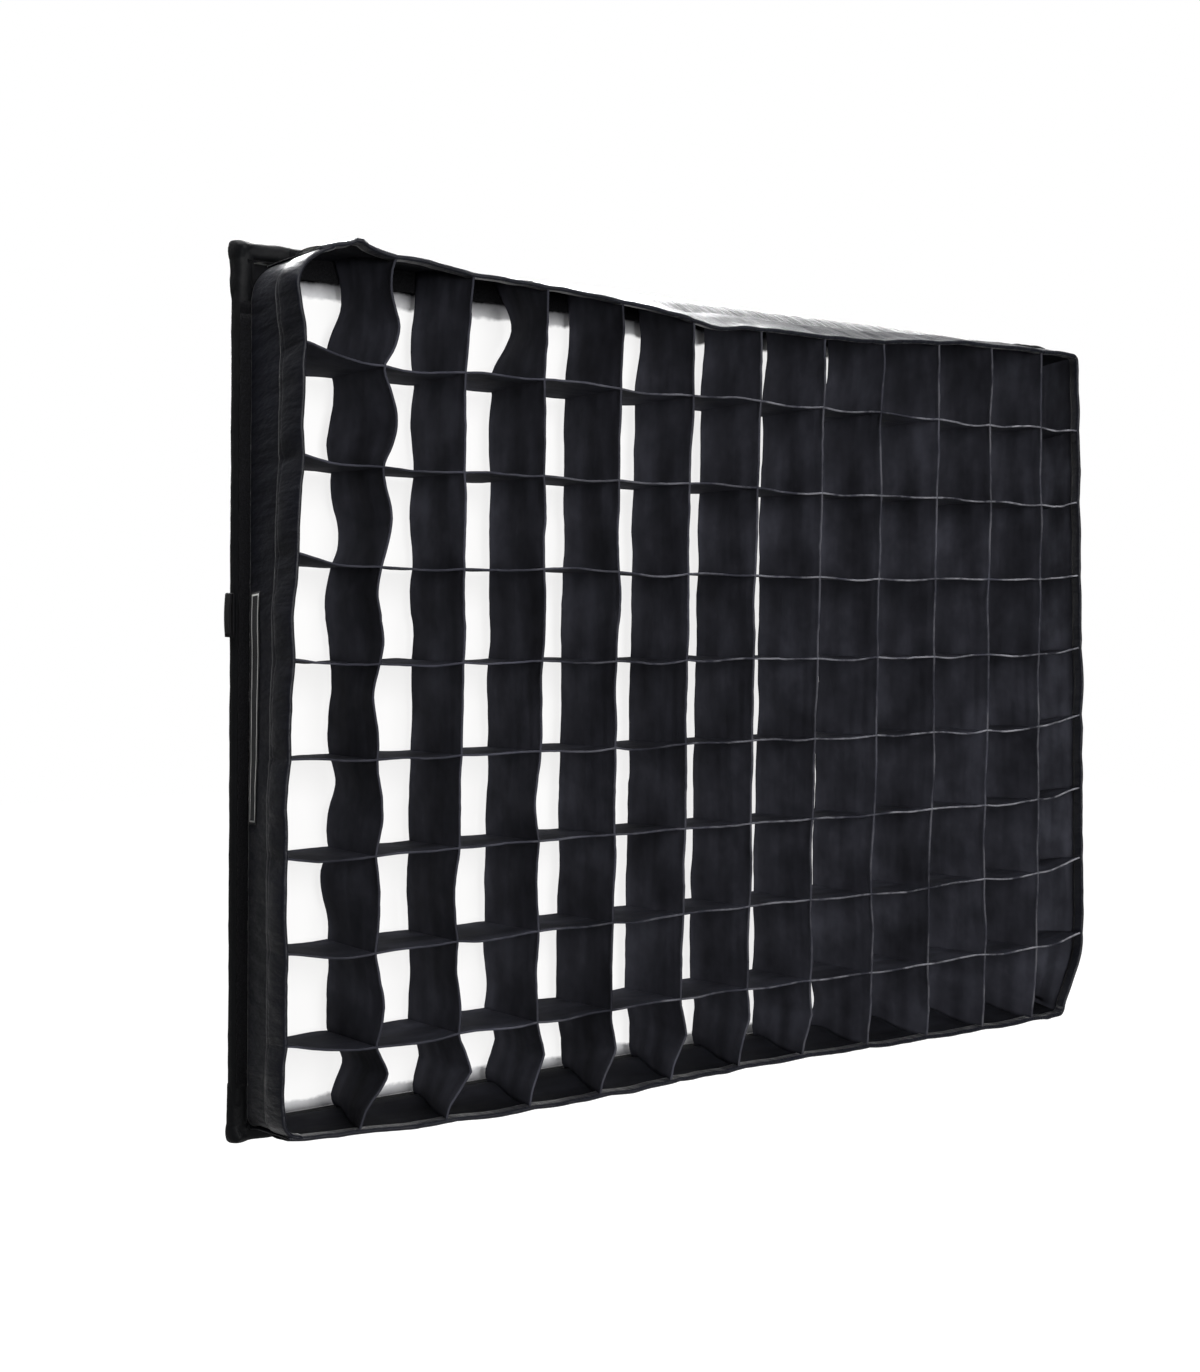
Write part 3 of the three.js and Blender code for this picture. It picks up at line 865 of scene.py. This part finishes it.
def build_upright(number):
    node = f"upright_divider_{number}"
    span = TOP - BOTTOM
    place = steps(span)
    depth = DIVIDER_DEPTHS
    bows = bulges(100 + number, ROWS, 1.1, 1.6)
    if number in SLACK:
        bows[0][:, 0], bows[1][:, 0], bows[0][:, 1], bows[1][:, 1] = SLACK[number]
    bows[0][0, 1] += 2.5  # the top row is crumpled behind
    bows[1][0, 1] += 1.5
    sideways = bowed(place / CELL, depth, bows, 200 + number, 1.3 if number == 1 else 0.9)
    # The feet are slack: each one is twisted where it is sewn to the bottom wall.
    rng = np.random.default_rng(300 + number)
    share = (1.0 - 0.85 * smooth((number - 5) / 4)) * rng.uniform(0.75, 1.15)
    knee = 8.4 + rng.uniform(-0.08, 0.1)
    below = np.clip((place / CELL - knee) / (ROWS - knee), 0, 1)[:, None]
    above = 1 - np.clip(np.abs(place / CELL - knee) / 0.38, 0, 1)[:, None]
    foot = (rng.uniform(5, 11) * above - rng.uniform(4, 15) * below) * (1 - depth) ** 1.2
    foot = foot + (rng.uniform(6, 11) * above + rng.uniform(6, 14) * below) * depth
    sideways = sideways + MM * share * foot
    points = on_grid(LEFT + number * CELL, DIVIDER_Y, (TOP - place)[:, None])
    points[..., 0] += sideways
    strip = cloth(
        f"{node}_cloth", points, DIVIDER_THICKNESS, place, ACROSS_DIVIDER, DIVIDER_NYLON
    )
    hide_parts(node)
    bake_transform(strip)


def build_level(number):
    node = f"level_divider_{number}"
    span = RIGHT - LEFT
    place = steps(span)
    depth = DIVIDER_DEPTHS
    bows = bulges(400 + number, COLUMNS, 1.7, 1.2)
    sideways = bowed(place / CELL, depth, bows, 500 + number, 0.6)
    hold = np.sin(math.pi * (place / CELL % 1.0))[:, None]
    sideways = sideways - MM * (1 - depth) * hold  # the front edge sags in each cell
    points = on_grid((LEFT + place)[:, None], DIVIDER_Y, TOP - number * CELL)
    points[..., 2] += sideways
    strip = cloth(f"{node}_cloth", points, DIVIDER_THICKNESS, place, ACROSS_DIVIDER, LEVEL_NYLON)
    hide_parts(node)
    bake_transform(strip)


for number in range(1, COLUMNS):
    build_upright(number)
for number in range(1, ROWS):
    build_level(number)

# -------------------------------- the rim

ROD_X = middle("right_rod", 0)
ROD_TOP = middle("top_rod", 2)
ROD_BOTTOM = middle("bottom_rod", 2)
RIM_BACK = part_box("top_rim_sleeve")[1][1]
RIM_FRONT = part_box("top_rim_sleeve")[0][1]
RIM_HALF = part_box("top_rim_sleeve")[1][2] - ROD_TOP
RIM_MIDDLE = (RIM_FRONT + RIM_BACK) / 2
RIM_HALF_DEPTH = (RIM_BACK - RIM_FRONT) / 2
RIM_ROUND = 40  # points round a sleeve
RIM_SQUARE = 2.6  # 2 would be an ellipse, and more is squarer


def tube_of_cloth(name, path, outward, half_out, half_deep, seed, wave, ear=0.0):
    """A sheet wrapped once round a rod and lapped over itself on the inner side.

    wave is the depth of its wrinkles. ear is how far the middle of a corner pocket
    stands out in a point. A pocket's ends are drawn in a little.
    """
    length = lengths_along(path)
    noise = Noise(seed)
    lap = np.linspace(-190, 182, RIM_ROUND)
    turns = np.radians(lap)
    cos, sin = np.cos(turns), np.sin(turns)
    reach = (np.abs(cos) ** RIM_SQUARE + np.abs(sin) ** RIM_SQUARE) ** (-1 / RIM_SQUARE)
    out = half_out * reach * cos
    deep = half_deep * reach * sin
    places = np.concatenate([[0], np.cumsum(np.hypot(np.diff(out), np.diff(deep)))])
    lifted = 0.0009 * smooth((-165 - lap) / 20)
    wrinkle = wave * (
        0.8 * noise.layers(length[:, None] / 0.045, places[None, :] / 0.012, 2)
        + 0.6 * noise.layers(length[:, None] / 0.012 + 30, places[None, :] / 0.03 + 9, 2)
    )
    from_corner = np.abs(length - length[-1] / 2)
    pointed = ear * np.clip(1 - from_corner / 0.0065, 0, 1) ** 1.5
    if ear:
        pointed = pointed - 0.0007 * smooth(from_corner / (length[-1] / 2) * 3 - 2)
    swell = 1 + (wrinkle - lifted[None, :] + pointed[:, None] * (cos > 0.3)) / half_out
    x, z = moved_out(path, outward, out[None, :] * swell)
    y = RIM_MIDDLE + deep[None, :] * swell
    points = np.stack([x, y, z], axis=-1)
    piece = cloth(name, points, RIM_CLOTH_THICK, length, places, RIM_NYLON)
    return piece, places[-1], length[-1]


SIDE_OUTWARD = {"top": (0, 1), "right": (1, 0), "bottom": (0, -1), "left": (-1, 0)}
RIM_STEP = 0.006
POCKET_STEP = 0.003
SLEEVE_WAVE = 0.0005
POCKET_WAVE = 0.0019
POCKET_EAR = 0.006  # the point that a pocket stands out in at its corner
POCKET_RADIUS = 0.008
POCKET_LEG = 0.042  # from the corner of the rods to a pocket's end
SLEEVE_HIDDEN = 0.018  # how much of each sleeve's end is inside a corner pocket


def build_sleeve(side, seed):
    node = f"{side}_rim_sleeve"
    if side in ("top", "bottom"):
        z = ROD_TOP if side == "top" else ROD_BOTTOM
        sign = 1 if side == "top" else -1
        reach = ROD_X - POCKET_LEG + SLEEVE_HIDDEN
        path = line((-sign * reach, z), (sign * reach, z), RIM_STEP)
    else:
        x = ROD_X if side == "right" else -ROD_X
        inset = POCKET_LEG - SLEEVE_HIDDEN
        ends = (x, ROD_TOP - inset), (x, ROD_BOTTOM + inset)
        path = line(*(ends if side == "right" else ends[::-1]), RIM_STEP)
    outward = np.tile(SIDE_OUTWARD[side], (len(path), 1)).astype(float)
    piece, round_it, length = tube_of_cloth(
        f"{side}_rim_cloth", path, outward, RIM_HALF, RIM_HALF_DEPTH, seed, SLEEVE_WAVE
    )
    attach(piece, "rim")
    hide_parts(node)


def build_pocket(corner, seed):
    """A corner's fabric pocket, drawn tight round the elbow inside it."""
    across_sign = 1 if "right" in corner else -1
    up_sign = 1 if "top" in corner else -1
    x, z = across_sign * ROD_X, ROD_TOP if up_sign > 0 else ROD_BOTTOM
    start = (x - across_sign * POCKET_LEG, z)
    end = (x, z - up_sign * POCKET_LEG)
    across_by, up_by = across_sign * POCKET_RADIUS, up_sign * POCKET_RADIUS
    turn = np.radians(np.linspace(0, 90, 11))
    bend = [x - across_by + across_by * np.sin(turn), z - up_by + up_by * np.cos(turn)]
    bend = np.stack(bend, 1)
    first = line(start, tuple(bend[0]), POCKET_STEP)
    last = line(tuple(bend[-1]), end, POCKET_STEP)
    path = joined(first, bend, last)
    if np.dot(outward_of(path)[0], (0, up_sign)) < 0:
        path = path[::-1]
    piece, round_it, length = tube_of_cloth(
        f"{corner}_pocket_cloth",
        path,
        outward_of(path),
        RIM_HALF + 0.0009,
        RIM_HALF_DEPTH + 0.0005,
        seed,
        POCKET_WAVE,
        ear=POCKET_EAR,
    )
    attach(piece, "rim")
    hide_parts(f"{corner}_corner_pocket")


BINDING_WAVE = 0.0003
TAPE_WAVE = 0.00012


def build_strip(side, node, name, wide_axis, wave, seed, material, body):
    """A narrow cloth strip in the middle of a CAD node's box, lying not quite flat."""
    low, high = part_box(f"{side}_{node}")
    long_axis = 0 if side in ("top", "bottom") else 2
    thin_axis = 3 - long_axis - wide_axis
    length = high[long_axis] - low[long_axis]
    width = high[wide_axis] - low[wide_axis]
    along = steps(length, RIM_STEP)
    across = np.linspace(0, width, 7)
    noise = Noise(seed)
    points = np.zeros((len(along), len(across), 3))
    points[..., long_axis] = low[long_axis] + along[:, None]
    points[..., wide_axis] = low[wide_axis] + across[None, :]
    points[..., wide_axis] += 0.6 * wave * noise.layers(along / 0.07 + 11, 0 * along, 2)[:, None]
    points[..., thin_axis] = (low[thin_axis] + high[thin_axis]) / 2
    points[..., thin_axis] += wave * noise.layers(along[:, None] / 0.03, across[None, :] / 0.02, 2)
    piece = cloth(f"{side}_{name}", points, STRIP_THICK, along, across, material)
    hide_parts(f"{side}_{node}")
    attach(piece, body)


for number, side in enumerate(SIDES):
    build_sleeve(side, 60 + number)
    build_strip(
        side, "diffuser_binding", "binding_cloth", 1, BINDING_WAVE, 70 + number,
        WEBBING, "rim",
    )
    facing = 2 if side in ("top", "bottom") else 0
    build_strip(
        side, "hook_tape", "hook_strip", facing, TAPE_WAVE, 80 + number,
        HOOK_TAPE, "rim",
    )
    build_strip(
        side, "loop_tape", "loop_strip", facing, TAPE_WAVE, 90 + number,
        LOOP_TAPE, f"grid_{side}",
    )

for number, corner in enumerate(CORNERS):
    build_pocket(corner, 40 + number)

hidden_parts = [(f"{corner}_rod_elbow", BLACK_PLASTIC) for corner in CORNERS]
hidden_parts += [(f"{side}_rod", ROD_MATERIAL) for side in SIDES]
for node, material in hidden_parts:
    mesh = bpy.data.objects[node].data
    mesh.materials.clear()
    mesh.materials.append(material)

# -------------------------------- the diffuser

DIFFUSER_STEP = 0.009
DIFFUSER_THICK = 0.0004
low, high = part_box("diffuser_cloth")
width, height = high[0] - low[0], high[2] - low[2]
along, across = steps(width, DIFFUSER_STEP), steps(height, DIFFUSER_STEP)
spread = Noise(8)
from_side = np.minimum(along, width - along)[:, None]
from_end = np.minimum(across, height - across)[None, :]
from_edge = np.minimum(from_side, from_end)
billow = 0.004 * smooth(from_edge / 0.25)
puckers = spread.layers(along[:, None] / 0.025, across[None, :] / 0.025, 3)
puckers = puckers * np.exp(-from_edge / 0.03)
gentle = spread.layers(along[:, None] / 0.3 + 9, across[None, :] / 0.3 + 4, 2)
points = np.zeros((len(along), len(across), 3))
points[..., 0] = low[0] + along[:, None]
points[..., 2] = low[2] + across[None, :]
points[..., 1] = (low[1] + high[1]) / 2 + billow + 0.0012 * puckers * smooth(from_edge / 0.006)
points[..., 1] += 0.0015 * gentle * smooth(from_edge / 0.1)
# The front face has the painted glow, and the back face has the painted shade.
lit_face = diffusion("white diffusion", width, height)
unlit_face = diffusion_back("white diffusion back")
diffuser = cloth("diffuser", points, DIFFUSER_THICK, along, across, lit_face, unlit_face)
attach(diffuser, "rim")
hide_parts("diffuser_cloth")

# -------------------------------- the label and the pull tab

LABEL_THICK = 0.0004
LABEL_OUT = 0.0014  # from the middle of the wall's cloth to the middle of the label
TAB_THICK = 0.0011
low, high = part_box("plain_label")
across = np.linspace(low[1] - FRONT, high[1] - FRONT, 9)
label_points, label_length, _ = wall_points("left", across, LABEL_OUT)
chosen = (label_points[:, 0, 2] > low[2] - 0.001) & (label_points[:, 0, 2] < high[2] + 0.001)
along = label_length[chosen] - label_length[chosen][0]
label_cloth = plain_label_cloth("label cloth", across[-1] - across[0], along[-1])
label = cloth(
    "label", label_points[chosen], LABEL_THICK, along, across - across[0], label_cloth
)
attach(label, "grid_left")
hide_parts("plain_label")

low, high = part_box("side_pull_tab")
tab_length = high[2] - low[2]
turn = np.radians(np.linspace(90, -90, 9))
inner_x, outer_x = high[0] - 0.0004, low[0] + 0.0002
middle_x = (inner_x + outer_x) / 2
radius = (inner_x - outer_x) / 2
rise = np.linspace(0, tab_length - radius, 10)
swell = 0.0009 * np.sin(math.pi * rise / rise[-1])
profile = np.concatenate(
    [
        np.stack([inner_x + 0 * rise, rise], 1),
        np.stack([middle_x + radius * np.sin(turn), rise[-1] + radius * np.cos(turn)], 1)[1:-1],
        np.stack([outer_x - swell, rise], 1)[::-1],
    ]
)
places = lengths_along(profile)
across = np.linspace(0, high[1] - low[1], 7)
points = np.zeros((len(profile), len(across), 3))
points[..., 0] = profile[:, :1]
points[..., 1] = low[1] + across[None, :]
points[..., 2] = low[2] + profile[:, 1:]
tab = cloth("pull_tab", points, TAB_THICK, places, across, WEBBING)
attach(tab, "rim")
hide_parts("side_pull_tab")

# -------------------------------- camera, light and floor

scene = bpy.context.scene

HEADING, PITCH, ROLL = (math.radians(a) for a in (35.087, -3.297, 0.975))
CAMERA_PLACE = (-1.0990, -1.4094, 0.1015)
LENS = 46.35
forward = Vector(
    (math.sin(HEADING) * math.cos(PITCH), math.cos(HEADING) * math.cos(PITCH), math.sin(PITCH))
)
right = Vector((math.cos(HEADING), -math.sin(HEADING), 0))
up = right.cross(forward)
rolled_right = right * math.cos(ROLL) + up * math.sin(ROLL)
rolled_up = up * math.cos(ROLL) - right * math.sin(ROLL)
camera = bpy.data.objects.new("camera", bpy.data.cameras.new("camera"))
scene.collection.objects.link(camera)
aim = Matrix((rolled_right, rolled_up, -forward)).transposed().to_4x4()
camera.matrix_world = Matrix.Translation(CAMERA_PLACE) @ aim
camera.data.lens = LENS
camera.data.sensor_width = 36.0
camera.data.clip_start, camera.data.clip_end = 0.05, 60.0
scene.camera = camera

world = bpy.data.worlds.new("studio")
scene.world = world
world.use_nodes = True
nodes, links = world.node_tree.nodes, world.node_tree.links
background = nodes["Background"]
background.inputs["Color"].default_value = (1, 1, 1, 1)
# White to look at, and a gentler light on the object, stronger from above.
looked_at = nodes.new("ShaderNodeLightPath").outputs["Is Camera Ray"]
direction = nodes.new("ShaderNodeTexCoord").outputs["Generated"]
parts = nodes.new("ShaderNodeSeparateXYZ")
links.new(direction, parts.inputs[0])
sky = nodes.new("ShaderNodeMapRange")
for socket, value in (("From Min", -0.3), ("From Max", 0.4), ("To Min", 0.04), ("To Max", 0.2)):
    sky.inputs[socket].default_value = value
links.new(parts.outputs["Z"], sky.inputs["Value"])
strength = nodes.new("ShaderNodeMapRange")
links.new(sky.outputs["Result"], strength.inputs["To Min"])
strength.inputs["To Max"].default_value = 1.0
links.new(looked_at, strength.inputs["Value"])
links.new(strength.outputs["Result"], background.inputs["Strength"])
scene.view_settings.view_transform = "Standard"


def area_light(name, place, target, size, power):
    light = bpy.data.lights.new(name, "AREA")
    light.shape = "SQUARE"
    light.size = size
    light.energy = power
    obj = bpy.data.objects.new(name, light)
    scene.collection.objects.link(obj)
    obj.location = place
    obj.rotation_euler = (Vector(target) - Vector(place)).to_track_quat("-Z", "Y").to_euler()
    obj.visible_camera = False


area_light("key", (-0.75, 0.15, 2.1), (-0.3, 0, 0.3), 1.5, 95.0)
area_light("behind", (0.5, 1.7, 0.95), (0, 0, 0.35), 1.6, 240.0)
area_light("fill", (-0.45, -2.6, 0.45), (0.2, 0, 0), 1.2, 90.0)

HALF_FLOOR, FLOOR_Z = 9.0, -1.25
corners = ((-1, -1), (1, -1), (1, 1), (-1, 1))
floor_points = [(x * HALF_FLOOR, y * HALF_FLOOR, FLOOR_Z) for x, y in corners]
floor = new_object("floor", floor_points, [(0, 1, 2, 3)], smooth_shading=False)
pale = Nodes("pale floor")
tone = pale.ramp(pale.noise(pale.object_places(), 1.5), [(0.3, (0.15,) * 3), (0.7, (0.18,) * 3)])
pale.put("Base Color", tone)
pale.put("Roughness", 0.9)
pale.put("Emission Color", (1, 1, 1, 1))
looked_at = pale.node("ShaderNodeLightPath").outputs["Is Camera Ray"]
pale.put("Emission Strength", looked_at)
floor.data.materials.append(pale.material)
